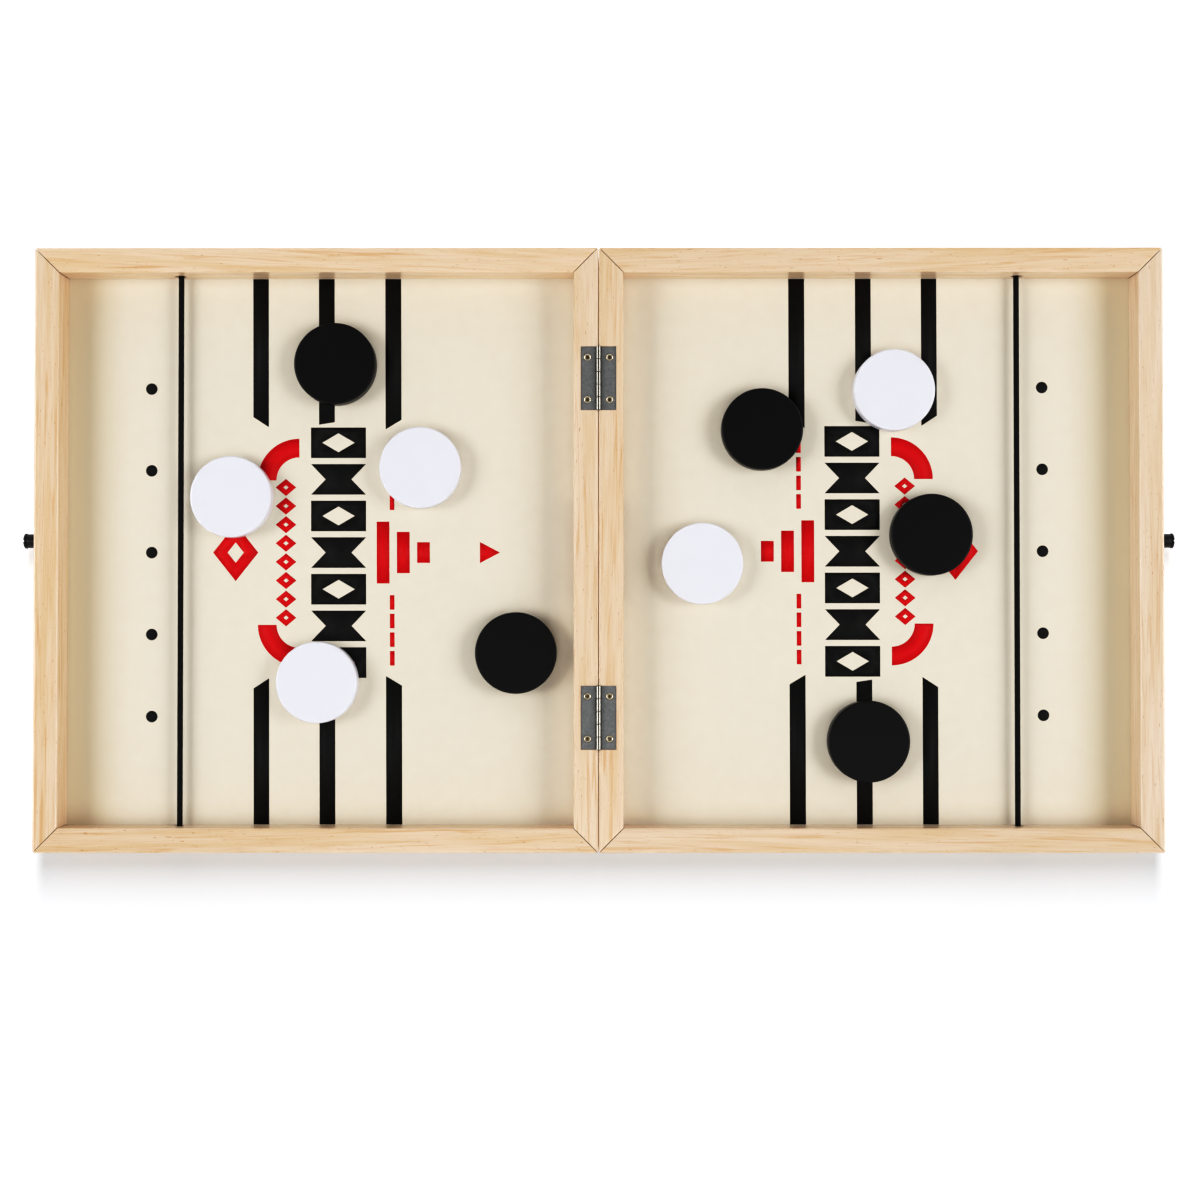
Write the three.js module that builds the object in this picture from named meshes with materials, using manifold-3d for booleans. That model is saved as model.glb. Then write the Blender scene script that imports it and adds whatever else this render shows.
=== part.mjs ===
import * as THREE from 'three';
import { mergeVertices, toCreasedNormals } from 'three/addons/utils/BufferGeometryUtils.js';
import Module from 'manifold-3d';

// A sling puck game, open for play: two shallow wooden trays hinged edge to edge, with an elastic
// cord across each and ten loose pucks. Millimetres, +X to the right-hand tray, +Y to the back,
// the table at z = 0 and the seam between the trays at x = 0.

// Trays
const trayLength = 280;
const trayDepth = 300;
const railHeight = 25;
const railThickness = 12.2;
const arrisRadius = 0.9;
const cornerRadius = 1.2;
const mitreGap = 0.25;
const seamGap = 0.3;
const rimGap = 0.3;

// Playing boards, held in grooves of the rails
const boardThickness = 3;
const boardRise = 3;
const grooveDepth = 4;
const grooveClearance = 0.1;

// Gate through both centre rails, level with the boards
const gateWidth = 50;
const gateHeight = 12.5;
const gateRadius = 5;

// Slings: elastic cord, knotted at both ends in counterbored holes
const cordDiameter = 2.8;
const cordRise = 4.6;
const slingInset = 70;
const cordHoleDiameter = 6;
const cordSeat = 0.1;
const counterboreDepth = 6;
const knotDiameter = 7;
const knotClearance = 0.2;
const knotLength = 4.6;
const knotSeat = 0.2;
const cordTail = 0.8;

// Pucks
const puckDiameter = 40.8;
const puckThickness = 9;
const puckArris = 0.8;
const puckLift = 0.05;
const puckClearance = 0.5;

// Butt hinges, let into the rims of the centre rails
const leafLength = 31.4;
const leafWidth = 8.7;
const leafThickness = 0.6;
const barrelRadius = 1.45;
const pinRadius = 0.78;
const pinHead = 0.3;
const knuckleCount = 5;
const knuckleGap = 0.2;
const rollGap = 0.35;
const backHingeInset = 65;
const frontHingeInset = 66.8;
const mortiseClearance = 0.15;
const leafSeat = 0.05;

// Hinge screws
const screwReach = 5.5;
const screwSpacingShare = 0.67;
const screwHeadRadius = 1.8;
const screwRim = 0.1;
const screwShankRadius = 0.9;
const screwLength = 8;
const screwTip = 1.6;
const screwClearance = 0.12;
const driveWidth = 0.4;
const driveDepth = 0.45;
const driveLength = 2.3;

// Latch posts: a slotted screw through a sleeve on the outer face of each end rail
const latchOffset = 4.8;
const sleeveRadius = 3.5;
const sleeveLength = 6.4;
const sleeveSeat = 0.05;
const latchHeadRadius = 3.8;
const latchHeadEdge = 0.7;
const latchHeadCrown = 0.9;
const latchSlotWidth = 0.9;
const latchSlotDepth = 0.8;
const latchShankRadius = 1.6;
const latchShankLength = 9;
const latchTip = 2;
const latchClearance = 0.15;

// Cuts run this far past the faces that they leave through
const overrun = 1;

// Numbers of facets
const arcSteps = 2;
const gateSteps = 4;
const rollSteps = 8;
const boreSides = 20;
const cordSides = 10;
const screwSides = 16;
const latchSides = 20;
const puckSides = 40;
const roundSteps = 2;

// Where the pucks lie, as shares of the way that their middles can go: along the tray from the
// centre rail to the sling, and across it from the middle to the back wall.
const puckPlaceShares = {
  black_puck_1: { side: -1, alongShare: 0.641, acrossShare: 0.802 },
  black_puck_2: { side: -1, alongShare: 0.053, acrossShare: -0.439 },
  black_puck_3: { side: 1, alongShare: 0.316, acrossShare: 0.521 },
  black_puck_4: { side: 1, alongShare: 0.865, acrossShare: 0.068 },
  black_puck_5: { side: 1, alongShare: 0.66, acrossShare: -0.818 },
  white_puck_1: { side: -1, alongShare: 0.978, acrossShare: 0.231 },
  white_puck_2: { side: -1, alongShare: 0.364, acrossShare: 0.356 },
  white_puck_3: { side: -1, alongShare: 0.698, acrossShare: -0.565 },
  white_puck_4: { side: 1, alongShare: 0.744, acrossShare: 0.689 },
  white_puck_5: { side: 1, alongShare: 0.121, acrossShare: -0.056 },
};

// Sizes that follow from the ones above
const railLength = trayLength - seamGap / 2;
const fieldLength = railLength - 2 * railThickness;
const fieldDepth = trayDepth - 2 * railThickness;
const boardTop = boardRise + boardThickness;
const foldHeight = railHeight + rimGap / 2;
const leafBottom = foldHeight - barrelRadius;
const leafTop = leafBottom + leafThickness;
const mortiseFloor = leafBottom - leafSeat;
const rollRadius = barrelRadius - leafThickness;
const slingPlace = trayLength - slingInset;
const holeLift = cordHoleDiameter / 2 - cordDiameter / 2 - cordSeat;
const cordHoleRise = boardTop + cordRise + holeLift;
const counterboreRadius = holeLift + knotDiameter / 2 + knotClearance;
const screwSpacing = leafLength * screwSpacingShare;
const puckReach = puckDiameter / 2 + puckClearance;
const puckNearest = seamGap / 2 + railThickness + puckReach;
const puckFarthest = slingPlace - cordDiameter / 2 - puckReach;
const puckSideways = fieldDepth / 2 - puckReach;
const hingePlaces = {
  back_hinge: trayDepth / 2 - backHingeInset,
  front_hinge: frontHingeInset - trayDepth / 2,
};

const colours = {
  wood: 0xe6c9a3,
  board: 0xebe4d3,
  cord: 0x16161a,
  black: 0x121212,
  white: 0xeeeef3,
  steel: 0x66666a,
  screw: 0x8a7a58,
};

const wasm = await Module();
wasm.setup();

// A closed three.js geometry as a solid that can be joined and cut.
function solidOf(geometry) {
  const bare = geometry.clone();
  bare.deleteAttribute('normal');
  bare.deleteAttribute('uv');
  const merged = mergeVertices(bare);
  return new wasm.Manifold(
    new wasm.Mesh({
      numProp: 3,
      vertProperties: new Float32Array(merged.attributes.position.array),
      triVerts: new Uint32Array(merged.index.array),
    }),
  );
}

// A solid back as a geometry, with its edges kept crisp.
function geometryOf(solid) {
  const mesh = solid.getMesh();
  const geometry = new THREE.BufferGeometry();
  geometry.setAttribute('position', new THREE.BufferAttribute(mesh.vertProperties, 3));
  geometry.setIndex(new THREE.BufferAttribute(mesh.triVerts, 1));
  return toCreasedNormals(geometry, Math.PI / 6);
}

function material(colour, roughness, metalness = 0) {
  return new THREE.MeshStandardMaterial({ color: colour, roughness, metalness });
}

function named(name, solid, look) {
  const mesh = new THREE.Mesh(geometryOf(solid), look);
  mesh.name = name;
  return mesh;
}

// A box given by its two far corners.
function block(low, high) {
  const size = high.map((value, axis) => value - low[axis]);
  const middle = high.map((value, axis) => (value + low[axis]) / 2);
  return solidOf(new THREE.BoxGeometry(...size).translate(...middle));
}

// A round solid about the Y axis, from a profile of [radius, y] that closes on the axis or on
// itself and runs upwards along its outside.
function turned(profile, sides) {
  const points = profile.map(([radius, y]) => new THREE.Vector2(radius, y));
  return solidOf(new THREE.LatheGeometry(points, sides));
}

// The same about the Z axis.
function turnedUpright(profile, sides) {
  const points = profile.map(([radius, z]) => new THREE.Vector2(radius, z));
  return solidOf(new THREE.LatheGeometry(points, sides).rotateX(Math.PI / 2));
}

// A section drawn as (y, z), drawn out along X from one end to the other.
function drawnAlongX(shape, from, to, steps) {
  const geometry = new THREE.ExtrudeGeometry(shape, {
    depth: to - from,
    bevelEnabled: false,
    curveSegments: steps,
  });
  const turn = new THREE.Matrix4().makeBasis(
    new THREE.Vector3(0, 1, 0),
    new THREE.Vector3(0, 0, 1),
    new THREE.Vector3(1, 0, 0),
  );
  return solidOf(geometry.applyMatrix4(turn).translate(from, 0, 0));
}

// A section drawn as (x, z), drawn out along Y from one end to the other.
function drawnAlongY(shape, from, to, steps) {
  const geometry = new THREE.ExtrudeGeometry(shape, {
    depth: to - from,
    bevelEnabled: false,
    curveSegments: steps,
  });
  return solidOf(geometry.rotateX(Math.PI / 2).translate(0, to, 0));
}

// A rail's section: rounded arrises, and the groove for the playing board in the inner face.
// Here the first coordinate runs inwards from the outer face and the second upwards.
function railSection() {
  const grooveLow = boardRise - grooveClearance;
  const grooveHigh = boardTop + grooveClearance;
  const inner = railThickness;
  const shape = new THREE.Shape();
  shape.moveTo(arrisRadius, 0);
  shape.absarc(inner - arrisRadius, arrisRadius, arrisRadius, -Math.PI / 2, 0);
  shape.lineTo(inner, grooveLow);
  shape.lineTo(inner - grooveDepth, grooveLow);
  shape.lineTo(inner - grooveDepth, grooveHigh);
  shape.lineTo(inner, grooveHigh);
  shape.absarc(inner - arrisRadius, railHeight - arrisRadius, arrisRadius, 0, Math.PI / 2);
  shape.absarc(arrisRadius, railHeight - arrisRadius, arrisRadius, Math.PI / 2, Math.PI);
  shape.absarc(arrisRadius, arrisRadius, arrisRadius, Math.PI, 1.5 * Math.PI);
  return shape;
}

// A rail's plan: mitred at both ends, with the tray's corner rounded on its outer edge.
function railPlan(length) {
  const end = length / 2;
  const start = -Math.PI / 4 - Math.acos(mitreGap / (Math.SQRT2 * cornerRadius));
  const shape = new THREE.Shape();
  shape.absarc(cornerRadius - end, cornerRadius, cornerRadius, start, -Math.PI / 2);
  shape.absarc(end - cornerRadius, cornerRadius, cornerRadius, -Math.PI / 2, -Math.PI - start);
  shape.lineTo(end - railThickness - mitreGap, railThickness);
  shape.lineTo(railThickness + mitreGap - end, railThickness);
  return shape;
}

// A mitred rail along X, with its outer face on y = 0 and its inner face towards +Y.
function railBlank(length) {
  const reach = length / 2 + overrun;
  const bar = drawnAlongX(railSection(), -reach, reach, arcSteps);
  const plan = new THREE.ExtrudeGeometry(railPlan(length), {
    depth: railHeight + 2 * overrun,
    bevelEnabled: false,
    curveSegments: arcSteps,
  });
  return bar.intersect(solidOf(plan.translate(0, 0, -overrun)));
}

// A side rail has one stepped hole for the cord: narrow inside, wide outside for the knot. The
// cord is drawn tight along the bottom of the narrow part.
function sideRail(holeAt) {
  const hole = turned(
    [
      [0, -overrun],
      [counterboreRadius, -overrun],
      [counterboreRadius, counterboreDepth],
      [cordHoleDiameter / 2, counterboreDepth],
      [cordHoleDiameter / 2, railThickness + overrun],
      [0, railThickness + overrun],
    ],
    boreSides,
  );
  return railBlank(railLength).subtract(hole.translate(holeAt, 0, cordHoleRise));
}

// An end rail has a blind hole for the latch post's screw.
function endRail(postAt) {
  const radius = latchShankRadius + latchClearance;
  const depth = latchShankLength + latchClearance;
  const hole = turned(
    [
      [0, -overrun],
      [radius, -overrun],
      [radius, depth],
      [0, depth],
    ],
    latchSides,
  );
  return railBlank(trayDepth).subtract(hole.translate(postAt, 0, railHeight / 2));
}

// The gate's outline, seen along the trays: a low opening with rounded upper corners.
function gateOutline() {
  const half = gateWidth / 2;
  const top = boardTop + gateHeight;
  const shape = new THREE.Shape();
  shape.moveTo(-half, boardTop);
  shape.lineTo(half, boardTop);
  shape.absarc(half - gateRadius, top - gateRadius, gateRadius, 0, Math.PI / 2);
  shape.absarc(gateRadius - half, top - gateRadius, gateRadius, Math.PI / 2, Math.PI);
  return shape;
}

// A centre rail has the gate at its middle and a mortise with two pilot holes for each hinge.
// The sign says which way along the rail the back of the tray lies.
function centreRail(sign) {
  const gate = drawnAlongY(gateOutline(), -overrun, railThickness + overrun, gateSteps);
  let rail = railBlank(trayDepth).subtract(gate);
  const mouth = screwHeadRadius + screwClearance;
  const bore = screwShankRadius + screwClearance;
  const headDrop = mouth - bore;
  const pilot = turnedUpright(
    [
      [0, leafTop - screwLength - overrun],
      [bore, leafTop - screwLength - overrun],
      [bore, leafTop - headDrop],
      [mouth, leafTop],
      [mouth, leafTop + overrun],
      [0, leafTop + overrun],
    ],
    screwSides,
  );
  for (const place of Object.values(hingePlaces)) {
    const middle = sign * place;
    const half = leafLength / 2 + mortiseClearance;
    rail = rail.subtract(
      block(
        [middle - half, -overrun, mortiseFloor],
        [middle + half, leafWidth + mortiseClearance - seamGap / 2, railHeight + overrun],
      ),
    );
    for (const end of [-1, 1]) {
      const along = middle + (end * screwSpacing) / 2;
      rail = rail.subtract(pilot.translate(along, screwReach - seamGap / 2, 0));
    }
  }
  return rail;
}

// One sling: the cord from knot to knot along Y. Each knot seats on its counterbore's floor.
function slingCord() {
  const cord = cordDiameter / 2;
  const knot = knotDiameter / 2;
  const seat = trayDepth / 2 - counterboreDepth + knotSeat;
  const swell = knotLength / 4;
  const half = [
    [cord, seat],
    [knot, seat + swell],
    [knot, seat + knotLength - swell],
    [cord, seat + knotLength],
    [cord, seat + knotLength + cordTail],
    [0, seat + knotLength + cordTail],
  ];
  const other = half.map(([radius, y]) => [radius, -y]).reverse();
  return turned([...other, ...half], cordSides);
}

// A hinge leaf that reaches out towards +X from the pin's axis, which is the Y axis. The strip
// runs under the pin, round its far side and over it, and stops short of the leaf's own top.
function hingeLeaf(firstKnuckle) {
  const stop = Math.asin((rollGap - rollRadius) / barrelRadius);
  const roll = new THREE.Shape();
  roll.moveTo(leafWidth, -rollRadius);
  roll.lineTo(0, -rollRadius);
  roll.absarc(0, 0, rollRadius, -Math.PI / 2, stop, true);
  roll.absarc(0, 0, barrelRadius, stop, 1.5 * Math.PI, false);
  roll.lineTo(leafWidth, -barrelRadius);
  let leaf = block(
    [barrelRadius + knuckleGap, -leafLength / 2, -barrelRadius],
    [leafWidth, leafLength / 2, -rollRadius],
  );
  const pitch = leafLength / knuckleCount;
  for (let index = firstKnuckle; index < knuckleCount; index += 2) {
    const low = index * pitch - leafLength / 2;
    const from = index === 0 ? low : low + knuckleGap / 2;
    const to = index === knuckleCount - 1 ? low + pitch : low + pitch - knuckleGap / 2;
    leaf = leaf.add(drawnAlongY(roll, from, to, rollSteps));
  }
  const countersink = turnedUpright(
    [
      [0, -barrelRadius - overrun],
      [screwHeadRadius - leafThickness + screwClearance, -barrelRadius - overrun],
      [screwHeadRadius - leafThickness + screwClearance, -barrelRadius],
      [screwHeadRadius + screwClearance, -rollRadius],
      [screwHeadRadius + screwClearance, 0],
      [0, 0],
    ],
    screwSides,
  );
  for (const end of [-1, 1]) {
    leaf = leaf.subtract(countersink.translate(screwReach, (end * screwSpacing) / 2, 0));
  }
  return leaf;
}

function hingePin() {
  const half = leafLength / 2;
  const neck = pinRadius - pinHead / 2;
  return turned(
    [
      [0, -half - pinHead],
      [neck, -half - pinHead],
      [pinRadius, -half],
      [pinRadius, half],
      [neck, half + pinHead],
      [0, half + pinHead],
    ],
    boreSides,
  );
}

// A countersunk wood screw, with its head on z = 0 and a cross recess in it.
function hingeScrew() {
  const headDrop = screwHeadRadius - screwShankRadius + screwRim;
  let screw = turnedUpright(
    [
      [0, -screwLength],
      [screwShankRadius, screwTip - screwLength],
      [screwShankRadius, -headDrop],
      [screwHeadRadius, -screwRim],
      [screwHeadRadius, 0],
      [0, 0],
    ],
    screwSides,
  );
  const long = driveLength / 2;
  const half = driveWidth / 2;
  screw = screw.subtract(block([-long, -half, -driveDepth], [long, half, overrun]));
  return screw.subtract(block([-half, -long, -driveDepth], [half, long, overrun]));
}

// The latch post's sleeve and its screw, along Y: outwards is -Y and the rail's face is y = 0.
function latchSleeve() {
  const bore = latchShankRadius + latchClearance;
  return turned(
    [
      [bore, -sleeveSeat - sleeveLength],
      [sleeveRadius, -sleeveSeat - sleeveLength],
      [sleeveRadius, -sleeveSeat],
      [bore, -sleeveSeat],
      [bore, -sleeveSeat - sleeveLength],
    ],
    latchSides,
  );
}

function latchScrew() {
  const under = -2 * sleeveSeat - sleeveLength;
  const crownStart = under - latchHeadEdge;
  const crownRadiusShares = [0.6, 0.9];
  const crownRiseShares = [0.85, 0.35];
  const crown = crownRadiusShares.map((share, index) => [
    share * latchHeadRadius,
    crownStart - crownRiseShares[index] * latchHeadCrown,
  ]);
  const screw = turned(
    [
      [0, crownStart - latchHeadCrown],
      ...crown,
      [latchHeadRadius, crownStart],
      [latchHeadRadius, under],
      [latchShankRadius, under],
      [latchShankRadius, latchShankLength - latchTip],
      [0, latchShankLength],
    ],
    latchSides,
  );
  const half = latchSlotWidth / 2;
  const far = crownStart - latchHeadCrown;
  return screw.subtract(
    block(
      [-half, far - overrun, -latchHeadRadius - overrun],
      [half, far + latchSlotDepth, latchHeadRadius + overrun],
    ),
  );
}

// A flat round puck with softened edges, standing on z = 0.
function puck() {
  const radius = puckDiameter / 2;
  const profile = [[0, 0]];
  const corner = (middleZ, from) => {
    for (let step = 0; step <= roundSteps; step += 1) {
      const angle = from + (step / roundSteps) * (Math.PI / 2);
      profile.push([
        radius - puckArris + puckArris * Math.cos(angle),
        middleZ + puckArris * Math.sin(angle),
      ]);
    }
  };
  corner(puckArris, -Math.PI / 2);
  corner(puckThickness - puckArris, 0);
  profile.push([0, puckThickness]);
  return turnedUpright(profile, puckSides);
}

const game = new THREE.Group();

// Both trays are alike and mirror each other across the seam.
function addTray(side, word) {
  const wood = () => material(colours.wood, 0.62);
  const middleX = side * (seamGap / 2 + railLength / 2);
  const cordX = side * slingPlace;

  const place = (mesh, x, y, turn) => {
    mesh.position.set(x, y, 0);
    mesh.rotation.z = turn;
    game.add(mesh);
  };
  const front = named(`${word}_front_rail`, sideRail(cordX - middleX), wood());
  place(front, middleX, -trayDepth / 2, 0);
  const back = named(`${word}_back_rail`, sideRail(middleX - cordX), wood());
  place(back, middleX, trayDepth / 2, Math.PI);

  // The end rail faces outwards and the centre rail faces the seam.
  const outward = (side * Math.PI) / 2;
  const end = named(`${word}_end_rail`, endRail(side * latchOffset), wood());
  place(end, side * trayLength, 0, outward);
  const centre = named(`${word}_centre_rail`, centreRail(-side), wood());
  place(centre, (side * seamGap) / 2, 0, -outward);

  const tongue = grooveDepth - 2 * grooveClearance;
  const halfBoardX = fieldLength / 2 + tongue;
  const halfBoardY = fieldDepth / 2 + tongue;
  const board = block(
    [middleX - halfBoardX, -halfBoardY, boardRise],
    [middleX + halfBoardX, halfBoardY, boardTop],
  );
  game.add(named(`${word}_board`, board, material(colours.board, 0.55)));

  const cord = named(`${word}_sling_cord`, slingCord(), material(colours.cord, 0.8));
  cord.position.set(cordX, 0, boardTop + cordRise);
  game.add(cord);

  const post = new THREE.Group();
  post.position.set(side * trayLength, latchOffset, railHeight / 2);
  post.rotation.z = outward;
  post.add(named(`${word}_latch_sleeve`, latchSleeve(), material(colours.black, 0.5)));
  post.add(named(`${word}_latch_screw`, latchScrew(), material(colours.black, 0.35, 0.5)));
  game.add(post);
}

addTray(-1, 'left');
addTray(1, 'right');

// Each hinge: two leaves whose knuckles alternate along one pin, and two screws in each leaf.
for (const [hinge, placeY] of Object.entries(hingePlaces)) {
  const steel = () => material(colours.steel, 0.4, 0.85);
  const axis = new THREE.Group();
  axis.position.set(0, placeY, foldHeight);
  const left = named(`${hinge}_left_leaf`, hingeLeaf(0), steel());
  left.rotation.z = Math.PI;
  axis.add(left);
  axis.add(named(`${hinge}_right_leaf`, hingeLeaf(1), steel()));
  axis.add(named(`${hinge}_pin`, hingePin(), steel()));
  for (const [side, word] of [[-1, 'left'], [1, 'right']]) {
    for (const [end, endWord] of [[-1, 'front'], [1, 'back']]) {
      const screw = named(
        `${hinge}_${word}_${endWord}_screw`,
        hingeScrew(),
        material(colours.screw, 0.4, 0.8),
      );
      screw.position.set(side * screwReach, (end * screwSpacing) / 2, -rollRadius);
      axis.add(screw);
    }
  }
  game.add(axis);
}

for (const [name, place] of Object.entries(puckPlaceShares)) {
  const colour = name.startsWith('black') ? colours.black : colours.white;
  const mesh = named(name, puck(), material(colour, 0.5));
  mesh.position.set(
    place.side * (puckNearest + place.alongShare * (puckFarthest - puckNearest)),
    place.acrossShare * puckSideways,
    boardTop + puckLift,
  );
  game.add(mesh);
}

export default game;
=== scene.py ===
import math

import bmesh
import bpy
import numpy as np
from mathutils import Matrix, Vector


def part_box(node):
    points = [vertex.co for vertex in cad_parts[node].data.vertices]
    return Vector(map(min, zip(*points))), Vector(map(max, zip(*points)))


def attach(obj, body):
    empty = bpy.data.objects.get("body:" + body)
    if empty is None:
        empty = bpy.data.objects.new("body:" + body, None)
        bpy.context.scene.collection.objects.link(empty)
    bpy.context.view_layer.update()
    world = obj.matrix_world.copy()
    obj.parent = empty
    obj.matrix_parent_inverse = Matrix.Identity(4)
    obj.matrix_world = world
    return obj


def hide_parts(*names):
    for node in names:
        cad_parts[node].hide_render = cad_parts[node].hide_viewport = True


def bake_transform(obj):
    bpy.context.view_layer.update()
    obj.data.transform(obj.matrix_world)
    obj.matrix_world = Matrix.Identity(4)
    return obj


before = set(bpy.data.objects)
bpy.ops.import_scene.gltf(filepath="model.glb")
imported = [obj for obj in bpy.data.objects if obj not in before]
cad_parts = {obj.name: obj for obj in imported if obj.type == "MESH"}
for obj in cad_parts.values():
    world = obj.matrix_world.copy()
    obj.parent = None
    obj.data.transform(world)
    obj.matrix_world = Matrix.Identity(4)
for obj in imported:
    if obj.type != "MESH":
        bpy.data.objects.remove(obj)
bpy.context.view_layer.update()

# Camera
# It hangs a metre over the table, a little nearer the front edge than the middle, and looks
# almost straight down. The lens and the small turns come from a fit to the game's outline.
camera_place = (0.00285, -0.0411, 1.0012)
camera_turns = (("X", 0.946), ("Y", 0.125), ("Z", -0.012))
lens_length = 59.2
sensor_width = 36

camera_data = bpy.data.cameras.new("camera")
camera_data.lens = lens_length
camera_data.sensor_width = sensor_width
camera = bpy.data.objects.new("camera", camera_data)
bpy.context.scene.collection.objects.link(camera)
aim = Matrix.Translation(camera_place)
for axis, degrees in camera_turns:
    aim = aim @ Matrix.Rotation(math.radians(degrees), 4, axis)
camera.matrix_world = aim
bpy.context.scene.camera = camera

# Studio light and floor
# A soft box stands beyond either end of the game, and one high in front of it. The room around
# is pale, and darker straight overhead, which is what the black pucks and the hinges mirror.
# The white sweep is lit from behind the game alone, so its shadow shows at the front edge only.

# Each box: its place, what it faces, its sides, its power in watts, and its beam in degrees.
soft_boxes = {
    "left_soft_box": ((-1.40, 0.0, 1.10), (-0.45, 0.0, 0.0), (0.9, 0.9), 2.75, 70),
    "right_soft_box": ((1.40, 0.0, 1.10), (0.45, 0.0, 0.0), (0.9, 0.9), 2.85, 70),
    "front_soft_box": ((0.0, -0.80, 1.80), (0.0, 0.0, 0.0), (0.9, 0.9), 7.2, 180),
    "sweep_box": ((0.0, 1.20, 1.75), (0.0, -0.15, 0.0), (0.4, 1.6), 32.0, 180),
}
# The room's light, and how steeply upwards, as the z of a direction, it gives way to the dark.
room_light = 0.71
overhead_light = 0.16
room_top = 0.35
overhead_start = 0.90
print_contrast = ((0.1, 0.045), (0.3, 0.215), (0.5, 0.46), (0.7, 0.70))
# The sweep, and the painted shadow under the seam, a line where its glow stops, from its middle outwards.
MM = 0.001
floor_reach = 2.5
floor_lines = 21
floor_depth = 0.02
floor_glow = 0.305
seam_shade_line = (0.4, 0.8)
seam_shade_end = (149, 150)

# The photograph's own contrast, drawn in the curve of all three colours together: dark tones go
# darker and keep more colour, light ones stay.
view = bpy.context.scene.view_settings
view.view_transform = "Standard"
view.use_curve_mapping = True
together = view.curve_mapping.curves[3]
for point in print_contrast:
    together.points.new(*point)
view.curve_mapping.update()


def linear(code):
    """An sRGB hex colour as linear RGBA: c / 12.92 up to 0.04045, ((c + 0.055) / 1.055) ^ 2.4 above."""
    levels = np.array([int(code[i:i + 2], 16) / 255 for i in (1, 3, 5)])
    curved = np.where(levels <= 0.04045, levels / 12.92, ((levels + 0.055) / 1.055) ** 2.4)
    return (*curved.tolist(), 1.0)


def add(tree, kind, sockets=None, **settings):
    """Add a node, give it its settings, and fill its inputs with plain values or outputs of others."""
    made = tree.nodes.new(kind)
    for name, value in settings.items():
        setattr(made, name, value)
    for key, value in (sockets or {}).items():
        if isinstance(value, bpy.types.NodeSocket):
            tree.links.new(value, made.inputs[key])
        else:
            made.inputs[key].default_value = value
    return made


def soft_box(name, place, target, sides, power, beam):
    """A light with the given sides that stands at place and faces the target. The beam is the
    full angle in degrees that its honeycomb lets through."""
    data = bpy.data.lights.new(name, "AREA")
    data.shape = "RECTANGLE"
    data.size, data.size_y = sides
    data.energy = power
    data.spread = math.radians(beam)
    lamp = bpy.data.objects.new(name, data)
    bpy.context.scene.collection.objects.link(lamp)
    away = Vector(place) - Vector(target)
    lamp.matrix_world = Matrix.Translation(place) @ away.to_track_quat("Z", "Y").to_matrix().to_4x4()
    return lamp


room = bpy.data.worlds.new("room")
room.use_nodes = True
bpy.context.scene.world = room
tree = room.node_tree
upward = add(tree, "ShaderNodeSeparateXYZ", {0: add(tree, "ShaderNodeTexCoord").outputs["Generated"]})
level = add(tree, "ShaderNodeMapRange",
            {"Value": upward.outputs["Z"], "From Min": room_top, "From Max": overhead_start,
             "To Min": room_light, "To Max": overhead_light}, interpolation_type="SMOOTHSTEP")
tree.links.new(level.outputs[0], tree.nodes["Background"].inputs["Strength"])
tree.nodes["Background"].inputs["Color"].default_value = linear("#FFFFFF")


def surface(name):
    """A fresh material with its shader: returns the material, its tree and the shader node."""
    made = bpy.data.materials.new(name)
    made.use_nodes = True
    return made, made.node_tree, made.node_tree.nodes["Principled BSDF"]


def build(name, patches, material, body=None, crease=32):
    """Join grids of points into one mesh. A patch is (points, wraps, lengths): points is rows by
    columns by xyz in metres, wraps says whether the columns close on themselves, and lengths are
    the metres of UV along rows and columns. Doubles are merged, so seams and poles close."""
    corners, faces, uvs, first = [], [], [], 0
    for points, wraps, lengths in patches:
        rows, columns = points.shape[:2]
        across = columns if wraps else columns - 1
        r, c = np.meshgrid(np.arange(rows - 1), np.arange(across), indexing="ij")
        quads = [(r, c), (r, c + 1), (r + 1, c + 1), (r + 1, c)]
        faces.append(first + np.stack([a * columns + b % columns for a, b in quads], -1).reshape(-1, 4))
        uvs.append(np.stack([np.stack([a / (rows - 1) * lengths[0], b / across * lengths[1]], -1)
                             for a, b in quads], -2).reshape(-1, 2))
        corners.append(points.reshape(-1, 3))
        first += rows * columns
    mesh = bpy.data.meshes.new(name)
    mesh.from_pydata(np.concatenate(corners).tolist(), [], np.concatenate(faces).tolist())
    mesh.uv_layers.new(name="UVMap").data.foreach_set("uv", np.concatenate(uvs).ravel())
    welded = bmesh.new()
    welded.from_mesh(mesh)
    bmesh.ops.remove_doubles(welded, verts=welded.verts, dist=0.0002 * MM)
    bmesh.ops.recalc_face_normals(welded, faces=welded.faces)
    welded.to_mesh(mesh)
    welded.free()
    mesh.shade_smooth()
    mesh.set_sharp_from_angle(angle=math.radians(crease))
    mesh.materials.append(material)
    piece = bpy.data.objects.new(name, mesh)
    bpy.context.scene.collection.objects.link(piece)
    if body:
        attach(piece, body)
    return piece


# Matt white paper sweep: pale all over, with a fine tooth a millimetre across. It glows evenly,
# and its glow stops in a hairline under the seam between the trays, a painted shadow there.
paper, tree, shader = surface("white_paper_sweep")
place = add(tree, "ShaderNodeTexCoord").outputs["Object"]
tooth = add(tree, "ShaderNodeTexNoise", {"Vector": place, "Scale": 0.9 / MM, "Detail": 2.0})
rough = add(tree, "ShaderNodeBump", {"Height": tooth.outputs[0], "Strength": 0.05, "Distance": 0.2 * MM})
tree.links.new(rough.outputs[0], shader.inputs["Normal"])
offset = add(tree, "ShaderNodeVectorMath", {0: place}, operation="ABSOLUTE")
offset = add(tree, "ShaderNodeSeparateXYZ", {0: offset.outputs[0]})
beside = add(tree, "ShaderNodeMapRange", {"Value": offset.outputs["X"], "From Min": seam_shade_line[0] * MM,
                                          "From Max": seam_shade_line[1] * MM})
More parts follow.
